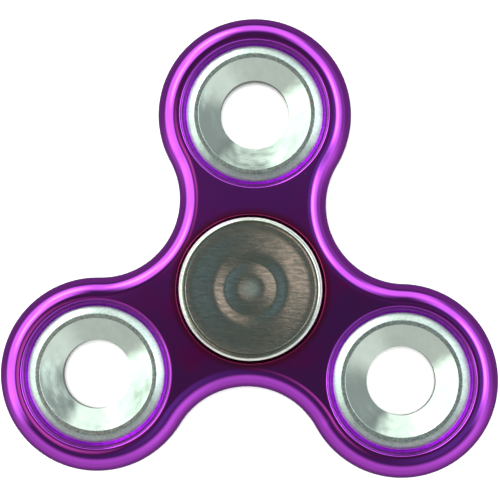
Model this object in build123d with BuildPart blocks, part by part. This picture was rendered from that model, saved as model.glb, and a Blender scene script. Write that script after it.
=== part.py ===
"""Three-armed hand spinner: a plated frame that turns on a ball bearing between two finger caps.

The spin axis is Z and the origin is the middle of the bearing. The first arm points along +Y.
Every piece is a solid of its own, and only the cage's rivets share a node.
"""

import os
from math import cos, pi, radians, sin

from build123d import *

os.makedirs("parts", exist_ok=True)

# Ball bearing, millimetres: these make the 8 x 22 x 7 size
bearing_bore_radius = 4.0
ball_count = 7
ball_radius = 1.9845
ball_play = 0.0155  # gap between a ball and either raceway
ring_wall = 1.5  # steel left between a raceway and the bore or the outside
raceway_depth = 0.5
raceway_relief = 0.075  # how much larger the raceway's radius is than the ball's
ring_corner = 0.3

# Bearing cage: two pressed ribbons riveted together
cage_sheet = 0.35
cage_ball_gap = 0.1
cage_ring_gap = 0.5
rivet_radius = 0.3
rivet_head_radius = 0.5
rivet_head_height = 0.2

# Shields and the wire clips that hold them
shield_sheet = 0.25
shield_cage_gap = 0.2655  # above the cage's domes
shield_inner_gap = 0.25  # to the inner ring, which turns past it
shield_rim_gap = 0.03
shield_seat_width = 0.5
clip_height = 0.3
clip_width = 0.4
clip_groove_depth = 0.25
clip_play = 0.03
clip_opening = 14.0  # degrees left open in the wire
ring_lip_height = 0.22  # steel above the clip's groove

# Frame
arm_count = 3
first_arm_angle = 90.0  # degrees from +X
lip_width = 1.0  # countersink round the mouth of each pocket
lip_depth = 0.8  # of the middle pocket
lip_edge_round = 0.2
web_width = 4.25  # between the middle pocket's lip and an arm's lip
rim_width = 3.58  # outside an arm's lip
waist_rim_width = 3.6  # outside the middle pocket's lip, midway between two arms
frame_edge_round = 3.2

# Arm weights, which fill pockets of the bearing's size
weight_thickness = 7.8
weight_hole_radius = 5.55
weight_land_length = 2.8  # straight wall in the middle of the hole
weight_shoulder_width = 1.3
weight_shoulder_drop = 0.6
weight_band_width = 0.65
weight_edge_round = 0.12

# Finger caps
cap_side_gap = 0.55  # from the cap's side in to the edge of the pocket's lip
cap_frame_gap = 0.15  # air between the cap's plate and the frame's flat face
cap_height = 2.1  # top of the cap above that face
cap_rim_width = 1.15
cap_rim_round = 0.75
cap_under_round = 0.35
boss_step = 0.4  # the boss is this much inside the inner ring's shoulder
spigot_wall = 1.8
spigot_gap = 0.4  # between the ends of the two spigots
spigot_end_chamfer = 0.35
spigot_roof = 0.4  # depth of the core's end below the bearing's face

# Pressed face discs, let into the caps
disc_sheet = 0.4
disc_sink = 0.06  # disc's edge below the cap's rim
disc_edge_width = 0.7  # flat edge that rests on the cap's ledge
disc_dish_depth = 0.28
disc_dish_radius = 5.8  # where the dish ends and the low ring begins
disc_ring_radius = 4.2
disc_ring_rise = 0.12  # crest of the ring above the dish
dimple_radius = 2.0
dimple_depth = 0.05  # below the dish
disc_under_gap = 0.15  # air under the disc's dimple

# Bearing sizes that follow
ball_pitch_radius = bearing_bore_radius + ring_wall + ball_play + ball_radius
bearing_outer_radius = ball_pitch_radius + ball_radius + ball_play + ring_wall
raceway_radius = ball_radius + raceway_relief
inner_groove_centre = ball_pitch_radius - ball_radius - ball_play + raceway_radius
outer_groove_centre = ball_pitch_radius + ball_radius + ball_play - raceway_radius
inner_shoulder_radius = bearing_bore_radius + ring_wall + raceway_depth
outer_shoulder_radius = bearing_outer_radius - ring_wall - raceway_depth
cage_inner_radius = inner_shoulder_radius + cage_ring_gap
cage_outer_radius = outer_shoulder_radius - cage_ring_gap
dome_inner_radius = ball_radius + cage_ball_gap
dome_outer_radius = dome_inner_radius + cage_sheet
clip_groove_height = clip_height + clip_play
shield_bottom = dome_outer_radius + shield_cage_gap
shield_top = shield_bottom + shield_sheet
half_bearing = shield_top + clip_groove_height + ring_lip_height
shield_seat_radius = outer_shoulder_radius + shield_seat_width
clip_groove_radius = shield_seat_radius + clip_groove_depth

# Frame sizes that follow
pocket_radius = bearing_outer_radius
half_frame = half_bearing + lip_depth
weight_shoulder = weight_thickness / 2 - weight_shoulder_drop
arm_lip_depth = half_frame - weight_shoulder  # an arm's lip reaches down to its weight's shoulder
lip_radius = pocket_radius + lip_width
arm_pitch_radius = lip_radius + web_width + lip_radius
arm_end_radius = lip_radius + rim_width
waist_distance = lip_radius + waist_rim_width
rim_wall = min(rim_width, waist_rim_width) - lip_edge_round
edge_round = min(frame_edge_round, rim_wall)

# Cap and disc sizes that follow
cap_radius = lip_radius - cap_side_gap
cap_under = half_frame + cap_frame_gap
cap_top = half_frame + cap_height
boss_radius = inner_shoulder_radius - boss_step
spigot_end = spigot_gap / 2
spigot_core_radius = bearing_bore_radius - spigot_wall
spigot_core_end = half_bearing - spigot_roof
disc_radius = cap_radius - cap_rim_width
disc_flat_radius = disc_radius - disc_edge_width
disc_edge_top = cap_top - disc_sink
disc_dish_top = disc_edge_top - disc_dish_depth
disc_ring_top = disc_dish_top + disc_ring_rise
dimple_top = disc_dish_top - dimple_depth
disc_ledge = disc_edge_top - disc_sheet
disc_well_floor = dimple_top - disc_sheet - disc_under_gap


def polar(radius, angle):
    """A point at a distance and an angle, in degrees, from the spin axis."""
    return (radius * cos(radians(angle)), radius * sin(radians(angle)))


def circles_of(part, radius):
    """The circular edges of a part that have a given radius."""
    circles = part.edges().filter_by(GeomType.CIRCLE)
    return circles.filter_by(lambda edge: abs(edge.radius - radius) < ring_corner / 10)


def nearest_corner(section, x, y):
    """The corner of a flat section that is nearest to a point in its own plane."""
    return section.vertices().sort_by_distance((x, y, 0))[0]


def save(part, name):
    """Labels a finished piece and writes it as its own STEP file."""
    part.label = name
    export_step(part, f"parts/{name}.step")


arm_angles = [first_arm_angle + i * 360 / arm_count for i in range(arm_count)]
arm_centres = [polar(arm_pitch_radius, angle) for angle in arm_angles]
half_turn = 180 / arm_count

# Each waist arc is tangent to the round ends of the two arms beside it
end_beyond_waist = arm_end_radius - waist_distance
waist_centre_distance = (arm_pitch_radius**2 - end_beyond_waist**2) / (
    2 * arm_pitch_radius * cos(pi / arm_count) + 2 * end_beyond_waist
)


def tangent_point(arm_angle, waist_angle):
    """Where an arm's round end runs into the waist arc beside it."""
    arm = Vector(*polar(arm_pitch_radius, arm_angle))
    waist = Vector(*polar(waist_centre_distance, waist_angle))
    return arm + (waist - arm).normalized() * arm_end_radius


with BuildPart() as frame:
    with BuildSketch() as frame_outline:
        with BuildLine():
            for angle in arm_angles:
                start = tangent_point(angle, angle - half_turn)
                tip = polar(arm_pitch_radius + arm_end_radius, angle)
                end = tangent_point(angle, angle + half_turn)
                ThreePointArc(start, tip, end)
                waist = polar(waist_distance, angle + half_turn)
                next_start = tangent_point(angle + 2 * half_turn, angle + half_turn)
                ThreePointArc(end, waist, next_start)
        make_face()
    extrude(amount=half_frame, both=True)
    fillet(frame.faces().filter_by(Axis.Z).edges(), radius=edge_round)
    with Locations((0, 0), *arm_centres):
        Cylinder(radius=pocket_radius, height=2 * half_frame, mode=Mode.SUBTRACT)
    for centres, depth in (([(0, 0)], lip_depth), (arm_centres, arm_lip_depth)):
        for side in (1, -1):
            with Locations(*[(x, y, side * (half_frame - depth / 2)) for x, y in centres]):
                Cone(
                    bottom_radius=pocket_radius if side > 0 else lip_radius,
                    top_radius=lip_radius if side > 0 else pocket_radius,
                    height=depth,
                    mode=Mode.SUBTRACT,
                )
    fillet(circles_of(frame, lip_radius), radius=lip_edge_round)
save(frame.part, "frame")

# Arm weights: turned rings, countersunk from both faces
weight_band_radius = bearing_outer_radius - weight_shoulder_width
weight_cone_radius = weight_band_radius - weight_band_width
half_weight = weight_thickness / 2
half_land = weight_land_length / 2
for number, (x, y) in enumerate(arm_centres, start=1):
    with BuildPart() as weight:
        with BuildSketch(Plane.XZ.offset(-y)) as weight_section:
            with BuildLine():
                Polyline(
                    (x + weight_hole_radius, half_land),
                    (x + weight_cone_radius, half_weight),
                    (x + weight_band_radius, half_weight),
                    (x + bearing_outer_radius, weight_shoulder),
                    (x + bearing_outer_radius, -weight_shoulder),
                    (x + weight_band_radius, -half_weight),
                    (x + weight_cone_radius, -half_weight),
                    (x + weight_hole_radius, -half_land),
                    close=True,
                )
            make_face()
        revolve(axis=Axis((x, y, 0), (0, 0, 1)))
        faces_by_height = weight.edges().group_by(Axis.Z)
        fillet(faces_by_height[-1] + faces_by_height[0], radius=weight_edge_round)
    save(weight.part, f"weight_{number}")

# Outer ring: raceway inside, then a shield's seat and a clip's groove at each mouth
with BuildPart() as outer_ring:
    Cylinder(radius=bearing_outer_radius, height=2 * half_bearing)
    Cylinder(radius=outer_shoulder_radius, height=2 * half_bearing, mode=Mode.SUBTRACT)
    Torus(
        major_radius=outer_groove_centre,
        minor_radius=raceway_radius,
        mode=Mode.SUBTRACT,
    )
    for side in (1, -1):
        with BuildSketch(Plane.XY.offset(side * half_bearing)):
            Circle(shield_seat_radius)
        extrude(amount=side * (shield_bottom - half_bearing), mode=Mode.SUBTRACT)
        with BuildSketch(Plane.XY.offset(side * shield_top)):
            Circle(clip_groove_radius)
        extrude(amount=side * clip_groove_height, mode=Mode.SUBTRACT)
    chamfer(circles_of(outer_ring, bearing_outer_radius), length=ring_corner)
save(outer_ring.part, "bearing_outer_ring")

with BuildPart() as inner_ring:
    Cylinder(radius=inner_shoulder_radius, height=2 * half_bearing)
    Cylinder(radius=bearing_bore_radius, height=2 * half_bearing, mode=Mode.SUBTRACT)
    Torus(
        major_radius=inner_groove_centre,
        minor_radius=raceway_radius,
        mode=Mode.SUBTRACT,
    )
    chamfer(circles_of(inner_ring, bearing_bore_radius), length=ring_corner)
save(inner_ring.part, "bearing_inner_ring")

for number in range(1, ball_count + 1):
    x, y = polar(ball_pitch_radius, (number - 1) * 360 / ball_count)
    with BuildPart() as ball:
        with Locations((x, y, 0)):
            Sphere(radius=ball_radius)
    save(ball.part, f"bearing_ball_{number}")

# Cage: a flat ribbon with a dome over each ball, and its mirror image
half_pitch = 180 / ball_count
with BuildPart() as cage_half_upper:
    with BuildSketch() as cage_band:
        Circle(cage_outer_radius)
        Circle(cage_inner_radius, mode=Mode.SUBTRACT)
    extrude(amount=cage_sheet)
    with PolarLocations(ball_pitch_radius, ball_count):
        Sphere(radius=dome_outer_radius)
    extrude(cage_band.sketch, amount=dome_outer_radius, mode=Mode.INTERSECT)
    with PolarLocations(ball_pitch_radius, ball_count):
        Sphere(radius=dome_inner_radius, mode=Mode.SUBTRACT)
    with PolarLocations(ball_pitch_radius, ball_count, start_angle=half_pitch):
        Cylinder(radius=rivet_radius, height=2 * cage_sheet, mode=Mode.SUBTRACT)
save(cage_half_upper.part, "cage_half_upper")

with BuildPart() as cage_half_lower:
    add(cage_half_upper.part.mirror(Plane.XY))
save(cage_half_lower.part, "cage_half_lower")

with BuildPart() as cage_rivets:
    with PolarLocations(ball_pitch_radius, ball_count, start_angle=half_pitch):
        Cylinder(radius=rivet_radius, height=2 * cage_sheet)
        for side in (1, -1):
            with Locations((0, 0, side * (cage_sheet + rivet_head_height / 2))):
                Cylinder(radius=rivet_head_radius, height=rivet_head_height)
save(cage_rivets.part, "cage_rivets")

for side, name in ((1, "upper"), (-1, "lower")):
    with BuildPart() as shield:
        with BuildSketch(Plane.XY.offset(side * shield_bottom)):
            Circle(shield_seat_radius - shield_rim_gap)
            Circle(inner_shoulder_radius + shield_inner_gap, mode=Mode.SUBTRACT)
        extrude(amount=side * shield_sheet)
    save(shield.part, f"shield_{name}")

    # The lower clip's opening is opposite the upper one's
    clip_middle_radius = clip_groove_radius - clip_play - clip_width / 2
    clip_start = Plane(origin=(0, 0, 0), x_dir=(side, 0, 0), z_dir=(0, -side, 0))
    with BuildPart() as clip:
        with BuildSketch(clip_start) as clip_section:
            with Locations((clip_middle_radius, side * (shield_top + clip_height / 2))):
                Rectangle(clip_width, clip_height)
        revolve(axis=Axis.Z, revolution_arc=360 - clip_opening)
    save(clip.part, f"shield_clip_{name}")

# Finger caps: a plate with a boss that stands on the inner ring and a spigot in its bore
for side, name in ((1, "upper"), (-1, "lower")):
    with BuildPart() as cap:
        with BuildSketch(Plane.XZ) as cap_section:
            with BuildLine():
                Polyline(
                    (spigot_core_radius, side * spigot_end),
                    (bearing_bore_radius, side * spigot_end),
                    (bearing_bore_radius, side * half_bearing),
                    (boss_radius, side * half_bearing),
                    (boss_radius, side * cap_under),
                    (cap_radius, side * cap_under),
                    (cap_radius, side * cap_top),
                    (disc_radius, side * cap_top),
                    (disc_radius, side * disc_ledge),
                    (disc_flat_radius, side * disc_ledge),
                    (disc_flat_radius, side * disc_well_floor),
                    (0, side * disc_well_floor),
                    (0, side * spigot_core_end),
                    (spigot_core_radius, side * spigot_core_end),
                    close=True,
                )
            make_face()
            fillet(nearest_corner(cap_section, cap_radius, side * cap_top), cap_rim_round)
            fillet(nearest_corner(cap_section, cap_radius, side * cap_under), cap_under_round)
            spigot_corner = nearest_corner(cap_section, bearing_bore_radius, side * spigot_end)
            chamfer(spigot_corner, length=spigot_end_chamfer)
        revolve(axis=Axis.Z)
    save(cap.part, f"cap_{name}")

    # One sheet: a flat edge, a shallow dish, a low ring and a dimple in the middle
    with BuildPart() as disc:
        with BuildSketch(Plane.XZ) as disc_section:
            with BuildLine():
                face = [
                    (disc_radius, disc_edge_top),
                    (disc_flat_radius, disc_edge_top),
                    (disc_dish_radius, disc_dish_top),
                    (disc_ring_radius, disc_ring_top),
                    (dimple_radius, dimple_top),
                    (0, dimple_top),
                ]
                back = [(r, z - disc_sheet) for r, z in reversed(face)]
                Polyline(*[(r, side * z) for r, z in face + back], close=True)
            make_face()
        revolve(axis=Axis.Z)
    save(disc.part, f"cap_disc_{name}")
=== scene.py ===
from math import atan2, cos, degrees, hypot, pi, radians, sin, tau

import bmesh
import bpy
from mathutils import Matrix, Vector


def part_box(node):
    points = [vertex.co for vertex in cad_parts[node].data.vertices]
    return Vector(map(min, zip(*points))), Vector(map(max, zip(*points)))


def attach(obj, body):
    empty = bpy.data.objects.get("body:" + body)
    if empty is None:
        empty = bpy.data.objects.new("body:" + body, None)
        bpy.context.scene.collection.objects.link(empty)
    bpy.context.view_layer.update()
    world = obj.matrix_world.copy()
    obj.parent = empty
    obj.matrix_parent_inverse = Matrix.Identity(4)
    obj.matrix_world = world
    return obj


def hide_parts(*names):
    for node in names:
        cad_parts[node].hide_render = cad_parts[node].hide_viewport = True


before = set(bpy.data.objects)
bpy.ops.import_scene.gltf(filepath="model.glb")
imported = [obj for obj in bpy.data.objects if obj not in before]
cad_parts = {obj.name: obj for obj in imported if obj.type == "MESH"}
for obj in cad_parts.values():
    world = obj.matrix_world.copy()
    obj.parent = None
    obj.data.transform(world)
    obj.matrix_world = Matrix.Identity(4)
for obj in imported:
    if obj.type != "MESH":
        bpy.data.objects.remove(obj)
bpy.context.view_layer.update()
mm = 0.001
weld = 0.0005 * mm  # points this close are one point
ringSlack = 0.02 * mm  # a ring's points lie this close to its radius and height
print("CAD frame loaded:", len(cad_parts), "nodes")


def place(node):
    # centre and half width of a round node
    low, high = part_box(node)
    return (low + high) / 2, (high.x - low.x) / 2


# sizes that the CAD parts settle
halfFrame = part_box("frame")[1].z
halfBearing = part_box("bearing_outer_ring")[1].z
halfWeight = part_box("weight_1")[1].z
pocketRadius = place("bearing_outer_ring")[1]
armCentres = [place("weight_" + str(i))[0] for i in (1, 2, 3)]
armReach = armCentres[0].y
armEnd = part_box("frame")[1].y - armReach
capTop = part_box("cap_upper")[1].z
capRadius = place("cap_upper")[1]
discUnder, discTop = [corner.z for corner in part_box("cap_disc_upper")]
discRadius = place("cap_disc_upper")[1]
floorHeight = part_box("cap_lower")[0].z
discSheet = 0.4 * mm  # the disc's metal, hidden in the cap

# camera: a long lens almost straight above
cameraLook = {
    "place": (6.8 * mm, -7.7 * mm, 369 * mm),
    "turn": (2.205, 1.079, 1.241),  # degrees, as a rotation vector
    "lens": 164.3,  # mm, for a sensor 36 mm wide
    "near": 0.01,
    "far": 10,
}
cameraData = bpy.data.cameras.new("camera")
cameraData.lens = cameraLook["lens"]
cameraData.sensor_width = 36
cameraData.clip_start = cameraLook["near"]
cameraData.clip_end = cameraLook["far"]
camera = bpy.data.objects.new("camera", cameraData)
bpy.context.scene.collection.objects.link(camera)
turn = Vector([radians(angle) for angle in cameraLook["turn"]])
camera.rotation_mode = "AXIS_ANGLE"
camera.rotation_axis_angle = (turn.length, *turn.normalized())
camera.location = cameraLook["place"]
bpy.context.scene.camera = camera
bpy.context.scene.view_settings.view_transform = "Standard"
print("camera placed")


def fromHex(code):
    # sRGB "#rrggbb" to a linear colour
    parts = [int(code[i:i + 2], 16) / 255 for i in (1, 3, 5)]
    return (*[c / 12.92 if c <= 0.04045 else ((c + 0.055) / 1.055) ** 2.4 for c in parts], 1)


def addNode(tree, kind, settings=None, links=None):
    # settings fill sockets or properties, links join an input to another node's output
    node = tree.nodes.new(kind)
    for name, value in (settings or {}).items():
        if isinstance(name, int) or name in node.inputs:
            node.inputs[name].default_value = value
        else:
            setattr(node, name, value)
    for name, (source, output) in (links or {}).items():
        tree.links.new(source.outputs[output], node.inputs[name])
    return node


def newMaterial(name):
    material = bpy.data.materials.new(name)
    material.use_nodes = True
    material.node_tree.nodes.clear()
    return material, material.node_tree


def useShader(tree, shader):
    addNode(tree, "ShaderNodeOutputMaterial", links={"Surface": (shader, "BSDF")})


def radiusFrom(tree, source, output):
    # distance from the upright axis through the source's zero
    level = addNode(
        tree, "ShaderNodeVectorMath", {"operation": "MULTIPLY", 1: (1, 1, 0)}, {0: (source, output)})
    return addNode(tree, "ShaderNodeVectorMath", {"operation": "LENGTH"}, {0: (level, "Vector")})


def mixedTint(tree, shades, factor, output):
    return addNode(
        tree, "ShaderNodeMix", {"data_type": "RGBA", 6: fromHex(shades[0]), 7: fromHex(shades[1])},
        {"Factor": (factor, output)})


def unevenRoughness(tree, dullness, pattern):
    return addNode(
        tree, "ShaderNodeMapRange",
        {"From Min": 0.3, "From Max": 0.7, "To Min": dullness[0], "To Max": dullness[1]},
        {"Value": (pattern, "Fac")})


def bumped(tree, depth, pattern, under=None):
    # relief of a given depth, on top of an earlier one
    links = {"Height": (pattern, "Fac")}
    if under:
        links["Normal"] = (under, "Normal")
    return addNode(tree, "ShaderNodeBump", {"Strength": 1, "Distance": depth}, links)


# the wash lights the floor, and isn't mirrored in the metal
washLook = {"height": 0.7, "size": 0.16, "floorBrightness": 1.3}
wash = bpy.data.lights.new("overhead_wash", "AREA")
wash.shape = "DISK"
wash.size = washLook["size"]
wash.energy = washLook["floorBrightness"] * (pi * washLook["height"]) ** 2
washObject = bpy.data.objects.new("overhead_wash", wash)
washObject.location = (0, 0, washLook["height"])
washObject.visible_glossy = False
bpy.context.scene.collection.objects.link(washObject)

# the room is a light tent, open at the top: soft panels stand round the spinner in a dim studio
roomLook = {
    "ceiling": ("#435546", "#642438"),
    "ceilingBlots": 52,  # how many dim blots fit across the ceiling
    "ceilingEnd": (14, 34),  # degrees off the vertical, where it fades into the walls
    "walls": "#525a5c",
    "wallsEnd": (85, 95),  # where they fade into the table
    "table": "#7a787a",
}
# each panel: azimuth, half width, softness, start and end off the vertical with their softness,
# all in degrees, then brightness and colour
panelLook = {
    "left": (160, 46, 12, 28, 5, 80, 9, 1.6, "#e6ffe9"),
    "leftStrip": (150, 14, 9, 40, 3, 53, 3, 3.0, "#ffffff"),
    "leftCorner": (120, 14, 9, 51, 3, 64, 3, 3.0, "#ffffff"),
    "leftHaze": (200, 42, 26, 7, 3, 18, 8, 0.74, "#ffdecb"),
    "right": (24, 44, 16, 27, 6, 60, 9, 1.4, "#eafff4"),
    "rightStrip": (16, 24, 9, 32, 5, 44, 4, 2.6, "#ffffff"),
    "rightHaze": (345, 56, 35, 8, 3, 34, 12, 0.2, "#aee2f6"),
    "rightLow": (0, 60, 20, 58, 5, 88, 8, 0.27, "#f0fff4"),
    "back": (92, 28, 12, 42, 10, 76, 7, 1.3, "#eeffee"),
    "backGlow": (100, 60, 30, 3, 2, 8, 2, 0.05, "#f4d8ff"),
    "front": (268, 78, 20, 50, 12, 98, 44, 0.58, "#f7fff0"),
}
world = bpy.data.worlds.new("light_tent")
world.use_nodes = True
bpy.context.scene.world = world
room = world.node_tree
room.nodes.clear()
direction = addNode(room, "ShaderNodeTexCoord")
upward = addNode(room, "ShaderNodeSeparateXYZ", links={"Vector": (direction, "Generated")})
lean = addNode(room, "ShaderNodeMath", {"operation": "ARCCOSINE"}, {0: (upward, "Z")})
blots = addNode(
    room, "ShaderNodeTexNoise", {"Scale": roomLook["ceilingBlots"], "Detail": 2},
    {"Vector": (direction, "Generated")})
blotRange = addNode(
    room, "ShaderNodeMapRange", {"From Min": 0.5, "From Max": 0.7}, {"Value": (blots, "Fac")})
total = mixedTint(room, roomLook["ceiling"], blotRange, "Result")
for end, below in (("ceilingEnd", "walls"), ("wallsEnd", "table")):
    faded = addNode(
        room, "ShaderNodeMapRange",
        {"From Min": radians(roomLook[end][0]), "From Max": radians(roomLook[end][1])},
        {"Value": (lean, "Value")})
    total = addNode(
        room, "ShaderNodeMix", {"data_type": "RGBA", 7: fromHex(roomLook[below])},
        {"Factor": (faded, "Result"), 6: (total, "Result")})
totalOutput = "Result"
for azimuth, wide, sideSoft, start, startSoft, end, endSoft, brightness, shade in panelLook.values():
    facing = addNode(
        room, "ShaderNodeVectorRotate", {"rotation_type": "Z_AXIS", "Angle": -radians(azimuth)},
        {"Vector": (direction, "Generated")})
    split = addNode(room, "ShaderNodeSeparateXYZ", links={"Vector": (facing, "Vector")})
    across = addNode(
        room, "ShaderNodeMath", {"operation": "ARCTAN2"}, {0: (split, "Y"), 1: (split, "X")})
    aside = addNode(room, "ShaderNodeMath", {"operation": "ABSOLUTE"}, {0: (across, "Value")})
    masks = [
        addNode(
            room, "ShaderNodeMapRange",
            {"interpolation_type": "SMOOTHSTEP", "From Min": radians(near), "From Max": radians(far),
             "To Min": low, "To Max": high}, {"Value": (source, "Value")})
        for source, near, far, low, high in (
            (aside, wide - sideSoft, wide + sideSoft, brightness, 0),
            (lean, start - startSoft, start + startSoft, 0, 1),
            (lean, end - endSoft, end + endSoft, 1, 0))]
    tall = addNode(
        room, "ShaderNodeMath", {"operation": "MULTIPLY"},
        {0: (masks[1], "Result"), 1: (masks[2], "Result")})
    light = addNode(
        room, "ShaderNodeMath", {"operation": "MULTIPLY"},
        {0: (tall, "Value"), 1: (masks[0], "Result")})
    total = addNode(
        room, "ShaderNodeVectorMath", {"operation": "MULTIPLY_ADD", 1: fromHex(shade)[:3]},
        {0: (light, "Value"), 2: (total, totalOutput)})
    totalOutput = "Vector"
glow = addNode(room, "ShaderNodeBackground", links={"Color": (total, totalOutput)})
addNode(room, "ShaderNodeOutputWorld", links={"Surface": (glow, "Background")})

floorLook = {"size": 6, "shade": "#f2f2f0", "dullness": 0.9}
bpy.ops.object.select_all(action="DESELECT")
bpy.ops.mesh.primitive_plane_add(size=floorLook["size"], location=(0, 0, floorHeight))
floor = bpy.context.object
floor.name = "floor"
paper, tree = newMaterial("matt_white_paper")
paperShader = addNode(
    tree, "ShaderNodeBsdfPrincipled",
    {"Base Color": fromHex(floorLook["shade"]), "Roughness": floorLook["dullness"]})
useShader(tree, paperShader)
floor.data.materials.append(paper)
floor.visible_glossy = False  # the metal mirrors the light tent in the floor's place
print("lights and floor set")


def startDrawing(name, point):
    # a new mesh of one vertex, left selected in edit mode
    bpy.ops.object.select_all(action="DESELECT")
    bpy.ops.mesh.primitive_circle_add(vertices=3, radius=mm, location=(0, 0, 0))
    piece = bpy.context.object
    piece.name = name
    piece.data.name = name
    bpy.ops.object.mode_set(mode="EDIT")
    bpy.ops.mesh.select_all(action="SELECT")
    bpy.ops.mesh.merge(type="CENTER")
    bpy.ops.transform.translate(value=point)
    return piece


def chooseEdges(test):
    # selects the edges whose corners all pass the test
    bpy.ops.mesh.select_all(action="DESELECT")
    mesh = bmesh.from_edit_mesh(bpy.context.object.data)
    for edge in mesh.edges:
        if all(test(corner.co) for corner in edge.verts):
            edge.select_set(True)
    bmesh.update_edit_mesh(bpy.context.object.data)


def chooseFaces(test):
    bpy.ops.mesh.select_all(action="DESELECT")
    mesh = bmesh.from_edit_mesh(bpy.context.object.data)
    for face in mesh.faces:
        if test(face):
            face.select_set(True)
    bmesh.update_edit_mesh(bpy.context.object.data)


def keepTrue():
    # the selected faces settle the shading at their edges, so that they look flat
    bpy.ops.mesh.mod_weighted_strength(set=True, face_strength="STRONG")


def drawSection(section):
    # extrudes the selected vertex through (radius, height) points, radius measured along X
    for (r0, z0), (r1, z1) in zip(section, section[1:]):
        step = (r1 - r0, 0, z1 - z0)
        bpy.ops.mesh.extrude_vertices_move(TRANSFORM_OT_translate={"value": step})


def spinSection(centre, steps):
    # turns the selected section once round an upright axis
    bpy.ops.mesh.spin(steps=steps, angle=tau, center=(centre[0], centre[1], 0), axis=(0, 0, 1))


def turned(name, centre, section, steps):
    # a piece made on a lathe
    piece = startDrawing(name, (centre[0] + section[0][0], centre[1], section[0][1]))
    drawSection(section)
    bpy.ops.mesh.select_all(action="SELECT")
    bpy.ops.mesh.remove_doubles(threshold=weld)
    bpy.ops.mesh.select_all(action="SELECT")
    spinSection(centre, steps)
    bpy.ops.mesh.select_all(action="SELECT")
    bpy.ops.mesh.remove_doubles(threshold=weld)
    bpy.ops.mesh.select_all(action="SELECT")
    bpy.ops.mesh.normals_make_consistent(inside=False)
    keepTrue()
    return piece


def roundRings(centre, rings, size, segments):
    # rounds the ring edges that pass through the given (radius, height) points
    def onRing(point):
        radius = hypot(point.x - centre[0], point.y - centre[1])
        return any(hypot(radius - r, point.z - z) < ringSlack for r, z in rings)

    chooseEdges(onRing)
    bpy.ops.mesh.bevel(
        offset=size, segments=segments, affect="EDGES", clamp_overlap=False, face_strength_mode="NEW")


def finish(piece, body, stands, material, sharpAngle=50):
    # smooth shading, then the piece's place in the model
    bpy.ops.object.mode_set(mode="OBJECT")
    bpy.ops.object.shade_smooth_by_angle(angle=radians(sharpAngle))
    weighted = piece.modifiers.new("weighted", "WEIGHTED_NORMAL")
    weighted.use_face_influence = True
    weighted.keep_sharp = True
    bpy.ops.object.modifier_apply(modifier="weighted")
    piece.data.materials.clear()
    piece.data.materials.append(material)
    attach(piece, body)
    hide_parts(*stands)


frameLook = {
    "waistDistance": 15.6 * mm,
    "edgeRound": 3.2 * mm,
    "lipWidth": 1.0 * mm,
    "lipDepth": 0.8 * mm,
    "armLipDepth": 1.0 * mm,
    "lipRound": 0.11 * mm,
    "lipSteps": 3,
    "mouthBand": 0.25 * mm,  # flat ring drawn round each lip, so that its edge can be rounded
    "sectionReach": 1.3 * mm,  # a pocket's section stays this close to the lip's edge
    "outlineStep": 2.5,  # degrees of arc to one side of the outline
    "edgeSteps": 20,
    "pocketSteps": 144,
    "shade": ("#d44cf7", "#cb47ec"),
    "edgeShade": "#eab0fa",  # seen aslant, the lacquer keeps its colour
    "middleShade": "#c22a5c",  # the flats are redder and darker round the middle pocket
    "middleEnd": (12 * mm, 13.4 * mm),  # that red fades between these radii
    "cloudSize": 11.11,  # pattern sizes are in millimetres
    "dustSpacing": 2.381,
    "rippleSize": 9.091,
    "rippleDepth": 0.03 * mm,
    "peelSize": 1.4286,
    "peelDepth": 0.0012 * mm,
}

# Vacuum-metallised ABS under a clear violet lacquer: a bright mirror, coloured like foil, that
# ripples a little with the moulding under it and has a few dust specks in the lacquer
plating, tree = newMaterial("metallised_abs_violet_lacquer")
where = addNode(tree, "ShaderNodeTexCoord")
clouds = addNode(
    tree, "ShaderNodeTexNoise", {"Scale": 1000 / frameLook["cloudSize"], "Detail": 3},
    {"Vector": (where, "Object")})
tint = mixedTint(tree, frameLook["shade"], clouds, "Fac")
radius = radiusFrom(tree, where, "Object")
# the flats turn redder and darker towards the middle pocket, mixed in by radius alone
nearMiddle = addNode(
    tree, "ShaderNodeMapRange",
    {"interpolation_type": "SMOOTHSTEP", "From Min": frameLook["middleEnd"][0],
     "From Max": frameLook["middleEnd"][1], "To Min": 0.85, "To Max": 0}, {"Value": (radius, "Value")})
lacquer = addNode(
    tree, "ShaderNodeMix", {"data_type": "RGBA", 7: fromHex(frameLook["middleShade"])},
    {"Factor": (nearMiddle, "Result"), 6: (tint, "Result")})
dust = addNode(
    tree, "ShaderNodeTexVoronoi", {"Scale": 1000 / frameLook["dustSpacing"]},
    {"Vector": (where, "Object")})
speck = addNode(  # the foil is duller on a speck
    tree, "ShaderNodeMapRange", {"From Min": 0.02, "From Max": 0.05, "To Min": 0.4, "To Max": 0.045},
    {"Value": (dust, "Distance")})
moulding = addNode(
    tree, "ShaderNodeTexNoise", {"Scale": 1000 / frameLook["rippleSize"], "Detail": 1},
    {"Vector": (where, "Object")})
peel = addNode(
    tree, "ShaderNodeTexNoise", {"Scale": 1000 / frameLook["peelSize"], "Detail": 2},
    {"Vector": (where, "Object")})
ripple = bumped(tree, frameLook["rippleDepth"], moulding)
skin = bumped(tree, frameLook["peelDepth"], peel, ripple)
foil = addNode(
    tree, "ShaderNodeBsdfPrincipled",
    {"Metallic": 1, "Specular Tint": fromHex(frameLook["edgeShade"]), "Coat Weight": 0.5,
     "Coat Roughness": 0.03},
    {"Base Color": (lacquer, "Result"), "Roughness": (speck, "Result"), "Normal": (skin, "Normal")})
useShader(tree, foil)

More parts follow.
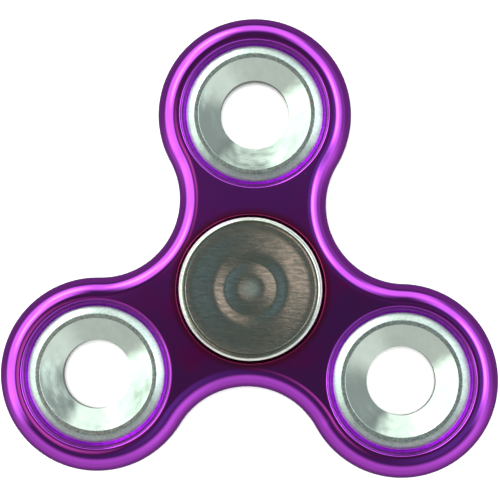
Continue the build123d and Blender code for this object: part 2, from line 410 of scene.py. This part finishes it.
# outline: three round arm ends, each running into the waist arc beside it
waistDistance = frameLook["waistDistance"]
beyondWaist = armEnd - waistDistance
waistReach = (armReach**2 - beyondWaist**2) / (armReach + 2 * beyondWaist)
armTurn = 2 * atan2(waistReach * sin(pi / 3), waistReach / 2 - armReach)
waistTurn = armTurn - tau / 3
firstTangent = pi / 2 - armTurn / 2
piece = startDrawing(
    "spinner_frame",
    (armEnd * cos(firstTangent), armReach + armEnd * sin(firstTangent), -halfFrame))
for i in range(3):
    armAngle = pi / 2 + i * tau / 3
    waistAngle = armAngle + pi / 3
    # a positive spin turns clockwise seen from above
    bpy.ops.mesh.spin(
        steps=round(degrees(armTurn) / frameLook["outlineStep"]), angle=-armTurn,
        center=(armReach * cos(armAngle), armReach * sin(armAngle), 0), axis=(0, 0, 1))
    bpy.ops.mesh.spin(
        steps=round(degrees(waistTurn) / frameLook["outlineStep"]), angle=waistTurn,
        center=(waistReach * cos(waistAngle), waistReach * sin(waistAngle), 0), axis=(0, 0, 1))
bpy.ops.mesh.select_all(action="SELECT")
bpy.ops.mesh.remove_doubles(threshold=weld)
bpy.ops.mesh.select_all(action="SELECT")
bpy.ops.mesh.edge_face_add()
bpy.ops.mesh.extrude_region_move(TRANSFORM_OT_translate={"value": (0, 0, 2 * halfFrame)})
bpy.ops.mesh.select_all(action="SELECT")
bpy.ops.mesh.normals_make_consistent(inside=False)
for side in (1, -1):
    chooseEdges(lambda point: abs(point.z - side * halfFrame) < weld)
    bpy.ops.mesh.bevel(
        offset=frameLook["edgeRound"], segments=frameLook["edgeSteps"], affect="EDGES",
        clamp_overlap=False)
chooseFaces(lambda face: abs(face.normal.z) < 0.01)
keepTrue()
chooseFaces(lambda face: abs(face.calc_center_median().z) > halfFrame - weld)
bpy.ops.mesh.delete(type="ONLY_FACE")

# pockets: a lip, a cone and a straight wall at each centre, joined to the flats by filling them
lipRadius = pocketRadius + frameLook["lipWidth"]
mouth = lipRadius + frameLook["mouthBand"]
sectionReach = frameLook["sectionReach"]
pocketCentres = [(0, 0)] + [(centre.x, centre.y) for centre in armCentres]
for x, y in pocketCentres:
    bpy.ops.mesh.select_all(action="DESELECT")
    bpy.ops.mesh.primitive_circle_add(vertices=3, radius=mm, location=(x, y, 0))
    bpy.ops.mesh.merge(type="CENTER")
    bpy.ops.transform.translate(value=(mouth, 0, halfFrame))
    wall = halfFrame - frameLook["lipDepth" if (x, y) == (0, 0) else "armLipDepth"]
    section = [
        (mouth, halfFrame), (lipRadius, halfFrame), (pocketRadius, wall),
        (pocketRadius, -wall), (lipRadius, -halfFrame), (mouth, -halfFrame)]
    drawSection(section)
    # the section just drawn is all that lies so near the lip's edge on this side
    chooseEdges(lambda point: abs(point.y - y) < weld and abs(point.x - x - lipRadius) < sectionReach)
    spinSection((x, y), frameLook["pocketSteps"])
bpy.ops.mesh.select_all(action="SELECT")
bpy.ops.mesh.remove_doubles(threshold=weld)
print("frame walls drawn")
for side in (1, -1):
    bpy.ops.mesh.select_all(action="DESELECT")
    mesh = bmesh.from_edit_mesh(piece.data)
    for edge in mesh.edges:
        if edge.is_boundary and all(abs(v.co.z - side * halfFrame) < weld for v in edge.verts):
            edge.select_set(True)
    bmesh.update_edit_mesh(piece.data)
    bpy.ops.mesh.fill(use_beauty=True)
bpy.ops.mesh.select_all(action="SELECT")
bpy.ops.mesh.normals_make_consistent(inside=False)
chooseFaces(lambda face: abs(face.normal.z) > 0.999)
keepTrue()


def inPocket(face):
    middle = face.calc_center_median()
    return any(hypot(middle.x - x, middle.y - y) < lipRadius for x, y in pocketCentres)


chooseFaces(inPocket)
keepTrue()
for x, y in pocketCentres:
    edges = [(lipRadius, halfFrame), (lipRadius, -halfFrame)]
    roundRings((x, y), edges, frameLook["lipRound"], frameLook["lipSteps"])
finish(piece, "rotor", ["frame"], plating)
print("frame:", len(piece.data.polygons), "faces")

weightLook = {
    "holeRadius": 5.55 * mm,
    "land": 1.4 * mm,  # half the height of the hole's straight wall
    "shoulderWidth": 1.3 * mm,
    "shoulderDrop": 0.6 * mm,
    "bandWidth": 0.65 * mm,
    "edgeRound": 0.045 * mm,
    "edgeSteps": 4,
    "shade": ("#e9eceb", "#d3dad8"),
    "bandShade": "#7d90a0",
    "dullness": (0.08, 0.18),
    "mattness": 0.2,  # roughness that the band and shoulder have on top of that
    "bandSpill": 0.1 * mm,  # the band's spots run on this far past its edges
    "bandSpots": 1.1,  # strength that they have there on top of the shoulder's
    "spotRange": (0.32, 0.68),
    "spotStrength": 0.3,
    "steps": 144,
    "ringWidth": 0.22,  # from one tool mark to the next: pattern sizes are in millimetres
    "ringDepth": 0.003 * mm,
    "cloudSize": 2.222,
    "waveSize": 5,
    "waveDepth": 0.19 * mm,
    "grainSize": 0.38461,  # coarser than the real grain, which is too fine to show
    "grainDepth": 0.004 * mm,
}


def turnedZinc(name, centre):
    # Turned steel with bright zinc plating: pale grey, with fine tool rings round the hole and a
    # slightly clouded skin, so that reflections break up along the rings; band and shoulder are
    # matt and spotted with grey
    material, tree = newMaterial(name)
    where = addNode(tree, "ShaderNodeTexCoord")
    centred = addNode(
        tree, "ShaderNodeMapping", {"Location": (-centre.x, -centre.y, 0)},
        {"Vector": (where, "Object")})
    radius = radiusFrom(tree, centred, "Vector")
    rings = addNode(
        tree, "ShaderNodeTexNoise",
        {"noise_dimensions": "1D", "Scale": 1000 / weightLook["ringWidth"], "Detail": 3},
        {"W": (radius, "Value")})
    clouds = addNode(
        tree, "ShaderNodeTexNoise",
        {"Scale": 1000 / weightLook["cloudSize"], "Detail": 5, "Roughness": 0.65},
        {"Vector": (where, "Object")})
    waves = addNode(
        tree, "ShaderNodeTexNoise", {"Scale": 1000 / weightLook["waveSize"], "Detail": 2},
        {"Vector": (where, "Object")})
    tint = mixedTint(tree, weightLook["shade"], clouds, "Fac")
    dull = unevenRoughness(tree, weightLook["dullness"], clouds)
    onBand = addNode(  # the flat band between cone and shoulder
        tree, "ShaderNodeMath",
        {"operation": "COMPARE", 1: (coneRadius + bandRadius) / 2,
         2: (bandRadius - coneRadius) / 2 + weightLook["bandSpill"]}, {0: (radius, "Value")})
    outside = addNode(
        tree, "ShaderNodeMath", {"operation": "GREATER_THAN", 1: coneRadius}, {0: (radius, "Value")})
    matt = addNode(
        tree, "ShaderNodeMath", {"operation": "MULTIPLY_ADD", 1: weightLook["mattness"]},
        {0: (outside, "Value"), 2: (dull, "Result")})
    spotted = addNode(  # spots show on the shoulder, and about twice as strongly on the band
        tree, "ShaderNodeMath", {"operation": "MULTIPLY_ADD", 1: weightLook["bandSpots"]},
        {0: (onBand, "Value"), 2: (outside, "Value")})
    grain = addNode(
        tree, "ShaderNodeTexNoise", {"Scale": 1000 / weightLook["grainSize"], "Detail": 2},
        {"Vector": (where, "Object")})
    spots = addNode(
        tree, "ShaderNodeMapRange",
        {"From Min": weightLook["spotRange"][0], "From Max": weightLook["spotRange"][1],
         "To Max": weightLook["spotStrength"]}, {"Value": (grain, "Fac")})
    shownSpots = addNode(
        tree, "ShaderNodeMath", {"operation": "MULTIPLY"},
        {0: (spotted, "Value"), 1: (spots, "Result")})
    skin = addNode(
        tree, "ShaderNodeMix", {"data_type": "RGBA", 7: fromHex(weightLook["bandShade"])},
        {"Factor": (shownSpots, "Value"), 6: (tint, "Result")})
    wavy = bumped(tree, weightLook["waveDepth"], waves)
    toolMarks = bumped(tree, weightLook["ringDepth"], rings, wavy)
    grainy = bumped(tree, weightLook["grainDepth"], grain, toolMarks)
    zinc = addNode(
        tree, "ShaderNodeBsdfPrincipled", {"Metallic": 1},
        {"Base Color": (skin, "Result"), "Roughness": (matt, "Value"), "Normal": (grainy, "Normal")})
    useShader(tree, zinc)
    return material


holeRadius = weightLook["holeRadius"]
land = weightLook["land"]
bandRadius = pocketRadius - weightLook["shoulderWidth"]
coneRadius = bandRadius - weightLook["bandWidth"]
shoulder = halfWeight - weightLook["shoulderDrop"]
for i, centre in enumerate(armCentres, start=1):
    section = [
        (holeRadius, land), (coneRadius, halfWeight), (bandRadius, halfWeight),
        (pocketRadius, shoulder), (pocketRadius, -shoulder), (bandRadius, -halfWeight),
        (coneRadius, -halfWeight), (holeRadius, -land), (holeRadius, land)]
    piece = turned("arm_weight_" + str(i), centre, section, weightLook["steps"])
    corners = [(r, side * halfWeight) for r in (coneRadius, bandRadius) for side in (1, -1)]
    corners += [(pocketRadius, side * shoulder) for side in (1, -1)]
    roundRings(centre, corners, weightLook["edgeRound"], weightLook["edgeSteps"])
    node = "weight_" + str(i)
    zincPlate = turnedZinc("turned_zinc_plated_steel_" + str(i), centre)
    finish(piece, "rotor", [node], zincPlate, sharpAngle=35)
print("weights turned")

capLook = {
    "under": 4.45 * mm,
    "rimRound": 0.75 * mm,
    "underRound": 0.35 * mm,
    "roundSteps": 10,
    "wellRound": 0.025 * mm,
    "wellSteps": 2,
    "frostWidth": 0.33 * mm,
    "frostFade": 0.12 * mm,
    "bossRadius": 5.6 * mm,
    "spigotRadius": 4.0 * mm,
    "spigotCore": 2.2 * mm,
    "spigotEnd": 0.2 * mm,
    "coreTop": 3.1 * mm,
    "ledgeWidth": 0.7 * mm,
    "airUnderDisc": 0.15 * mm,
    "steps": 160,
    "turn": 35,  # degrees that the hairlines are turned
    "shade": ("#dcdad4", "#c4c6c2"),
    "dullness": (0.09, 0.15),
}
brushLook = {  # pattern sizes are in millimetres
    "hairSize": 1.6129,  # coarser than real hairlines, which are too fine to show
    "hairStretch": (1, 3.5, 1),
    "streakRange": (0.38, 0.68),
    "hairDepth": 0.022 * mm,
    "dentSize": 3.846,
    "dentDepth": 0.03 * mm,
}


def brushedNickel(name, look):
    # Pressed steel with bright nickel plating: warm grey, with hair-fine scratches that run mostly
    # one way and a slight haze between them
    material, tree = newMaterial(name)
    where = addNode(tree, "ShaderNodeTexCoord")
    along = addNode(
        tree, "ShaderNodeMapping",
        {"Rotation": (0, 0, radians(look["turn"])), "Scale": brushLook["hairStretch"]},
        {"Vector": (where, "Object")})
    hairs = addNode(
        tree, "ShaderNodeTexNoise",
        {"Scale": 1000 / brushLook["hairSize"], "Detail": 3, "Roughness": 0.65, "Distortion": 0.6},
        {"Vector": (along, "Vector")})
    streaks = addNode(
        tree, "ShaderNodeMapRange",
        {"From Min": brushLook["streakRange"][0], "From Max": brushLook["streakRange"][1]},
        {"Value": (hairs, "Fac")})
    tint = mixedTint(tree, look["shade"], streaks, "Result")
    dull = unevenRoughness(tree, look["dullness"], hairs)
    dents = addNode(
        tree, "ShaderNodeTexNoise", {"Scale": 1000 / brushLook["dentSize"], "Detail": 1},
        {"Vector": (where, "Object")})
    uneven = bumped(tree, brushLook["dentDepth"], dents)
    scratches = bumped(tree, brushLook["hairDepth"], hairs, uneven)
    nickel = addNode(
        tree, "ShaderNodeBsdfPrincipled", {"Metallic": 1},
        {"Base Color": (tint, "Result"), "Roughness": (dull, "Result"),
         "Normal": (scratches, "Normal")})
    useShader(tree, nickel)
    return material


def shaderOf(tree):
    return next(node for node in tree.nodes if node.type == "BSDF_PRINCIPLED")


def frostedEdge(material, start, fade):
    # the rounded edge outside a radius is blasted, which leaves it white from every side
    tree = material.node_tree
    where = addNode(tree, "ShaderNodeTexCoord")
    radius = radiusFrom(tree, where, "Object")
    plain = addNode(
        tree, "ShaderNodeMapRange",
        {"From Min": start, "From Max": start + fade, "To Min": 1, "To Max": 0.25},
        {"Value": (radius, "Value")})
    tree.links.new(plain.outputs["Result"], shaderOf(tree).inputs["Metallic"])


capMetal = brushedNickel("polished_nickel_plated_steel", capLook)
frostedEdge(capMetal, capRadius - capLook["frostWidth"], capLook["frostFade"])
well = discUnder - capLook["airUnderDisc"]
wellRadius = discRadius - capLook["ledgeWidth"]
ledge = discTop - discSheet
rounds = {"rimRound": (capRadius, capTop), "underRound": (capRadius, capLook["under"])}
for side, end in ((1, "upper"), (-1, "lower")):
    section = [
        (0, well), (wellRadius, well), (wellRadius, ledge), (discRadius, ledge),
        (discRadius, capTop), (capRadius, capTop), (capRadius, capLook["under"]),
        (capLook["bossRadius"], capLook["under"]), (capLook["bossRadius"], halfBearing),
        (capLook["spigotRadius"], halfBearing), (capLook["spigotRadius"], capLook["spigotEnd"]),
        (capLook["spigotCore"], capLook["spigotEnd"]), (capLook["spigotCore"], capLook["coreTop"]),
        (0, capLook["coreTop"])]
    section = [(r, side * z) for r, z in section]
    piece = turned("finger_cap_" + end, (0, 0), section, capLook["steps"])
    for name, (r, z) in rounds.items():
        roundRings((0, 0), [(r, side * z)], capLook[name], capLook["roundSteps"])
    roundRings((0, 0), [(discRadius, side * capTop)], capLook["wellRound"], capLook["wellSteps"])
    finish(piece, "hub", ["cap_" + end], capMetal, sharpAngle=35)
print("caps turned")

discLook = {
    "steps": 128,
    "turn": 12,
    "shade": ("#d9dddc", "#abb5b6"),
    "dullness": (0.15, 0.22),
    "wornRadius": 1.9 * mm,
    "wear": 0.15,  # roughness that the very middle has on top of that
    "face": [  # radius and height under the edge's top, in mm, from the edge to the middle
        (10.3, 0), (9.6, 0), (9.5, 0.004), (9.3, 0.014), (9.0, 0.034), (8.0, 0.12), (7.0, 0.2),
        (6.4, 0.245), (6.0, 0.262), (5.8, 0.262), (5.5, 0.248), (5.0, 0.205), (4.5, 0.165),
        (4.3, 0.155), (4.18, 0.153), (4.05, 0.16), (3.9, 0.178), (3.4, 0.225), (2.8, 0.275),
        (2.4, 0.3), (2.1, 0.307), (1.9, 0.303), (1.5, 0.285), (1.0, 0.262), (0.5, 0.25),
        (0, 0.248)],
}


def wornMiddle(material, reach, wear):
    # fingers have rubbed the raised middle matt
    tree = material.node_tree
    roughness = shaderOf(tree).inputs["Roughness"]
    where = addNode(tree, "ShaderNodeTexCoord")
    radius = radiusFrom(tree, where, "Object")
    worn = addNode(
        tree, "ShaderNodeMapRange",
        {"interpolation_type": "SMOOTHSTEP", "From Min": 0.2 * reach, "From Max": 1.2 * reach,
         "To Min": wear, "To Max": 0}, {"Value": (radius, "Value")})
    both = addNode(tree, "ShaderNodeMath", {"operation": "ADD"}, {0: (worn, "Result")})
    tree.links.new(roughness.links[0].from_socket, both.inputs[1])
    tree.links.new(both.outputs["Value"], roughness)


discMetal = brushedNickel("pressed_nickel_plated_steel", discLook)
wornMiddle(discMetal, discLook["wornRadius"], discLook["wear"])
for side, end in ((1, "upper"), (-1, "lower")):
    face = [(r * mm, discTop - drop * mm) for r, drop in discLook["face"]]
    back = [(r, z - discSheet) for r, z in reversed(face)]
    section = [(r, side * z) for r, z in face + back + face[:1]]
    piece = turned("cap_disc_" + end + "_pressed", (0, 0), section, discLook["steps"])
    bpy.ops.mesh.mod_weighted_strength(set=True, face_strength="MEDIUM")
    finish(piece, "hub", ["cap_disc_" + end], discMetal, sharpAngle=60)
print("discs pressed")


def workedSteel(name, look):
    # bare steel: cloudy tint, uneven dullness, and fine marks that run the way it was worked
    material, tree = newMaterial(name)
    where = addNode(tree, "ShaderNodeTexCoord")
    clouds = addNode(
        tree, "ShaderNodeTexNoise", {"Scale": 1000 / look["cloudSize"], "Detail": 3},
        {"Vector": (where, "Object")})
    tint = mixedTint(tree, look["shade"], clouds, "Fac")
    dull = unevenRoughness(tree, look["dullness"], clouds)
    along = addNode(
        tree, "ShaderNodeMapping", {"Scale": look["markStretch"]}, {"Vector": (where, "Object")})
    marks = addNode(
        tree, "ShaderNodeTexNoise", {"Scale": 1000 / look["markSize"], "Detail": 4},
        {"Vector": (along, "Vector")})
    relief = bumped(tree, look["markDepth"], marks)
    steel = addNode(
        tree, "ShaderNodeBsdfPrincipled", {"Metallic": 1},
        {"Base Color": (tint, "Result"), "Roughness": (dull, "Result"), "Normal": (relief, "Normal")})
    useShader(tree, steel)
    return material


# the bearing's own parts keep their CAD shapes; cloud and mark sizes are in millimetres
bearingLook = {
    "ground_chromium_steel": {  # rings: centreless ground, so bright with fine lines round them
        "nodes": ["bearing_outer_ring", "bearing_inner_ring"], "shade": ("#c4c6c8", "#b2b5b9"),
        "dullness": (0.16, 0.26), "cloudSize": 4, "markSize": 1.6, "markStretch": (1, 1, 14),
        "markDepth": 0.004 * mm},
    "lapped_chromium_steel": {  # balls: lapped to a mirror, with a few stray hair scratches
        "nodes": ["bearing_ball_" + str(i) for i in range(1, 8)], "shade": ("#d6d8da", "#cacdd0"),
        "dullness": (0.04, 0.08), "cloudSize": 2.5, "markSize": 0.5, "markStretch": (1, 3, 1),
        "markDepth": 0.0003 * mm},
    "pressed_steel_strip": {  # cage: rolled strip, faintly brown from its stamping oil
        "nodes": ["cage_half_upper", "cage_half_lower", "cage_rivets"], "shade": ("#b9b3a6", "#a39d92"),
        "dullness": (0.26, 0.4), "cloudSize": 3, "markSize": 0.7, "markStretch": (1, 5, 1),
        "markDepth": 0.003 * mm},
    "stamped_steel_sheet": {  # shields: satin sheet with the rolling direction still to be seen
        "nodes": ["shield_upper", "shield_lower"], "shade": ("#bcbfc0", "#a9adaf"),
        "dullness": (0.24, 0.34), "cloudSize": 5, "markSize": 1.2, "markStretch": (1, 9, 1),
        "markDepth": 0.003 * mm},
    "drawn_spring_wire": {  # clips: hard drawn wire, darker and streaked from the die
        "nodes": ["shield_clip_upper", "shield_clip_lower"], "shade": ("#8d8f92", "#737579"),
        "dullness": (0.2, 0.32), "cloudSize": 2, "markSize": 0.4, "markStretch": (1, 1, 4),
        "markDepth": 0.002 * mm},
}
for name, look in bearingLook.items():
    steel = workedSteel(name, look)
    for node in look["nodes"]:
        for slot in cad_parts[node].material_slots:
            slot.material = steel
print("bearing finished")
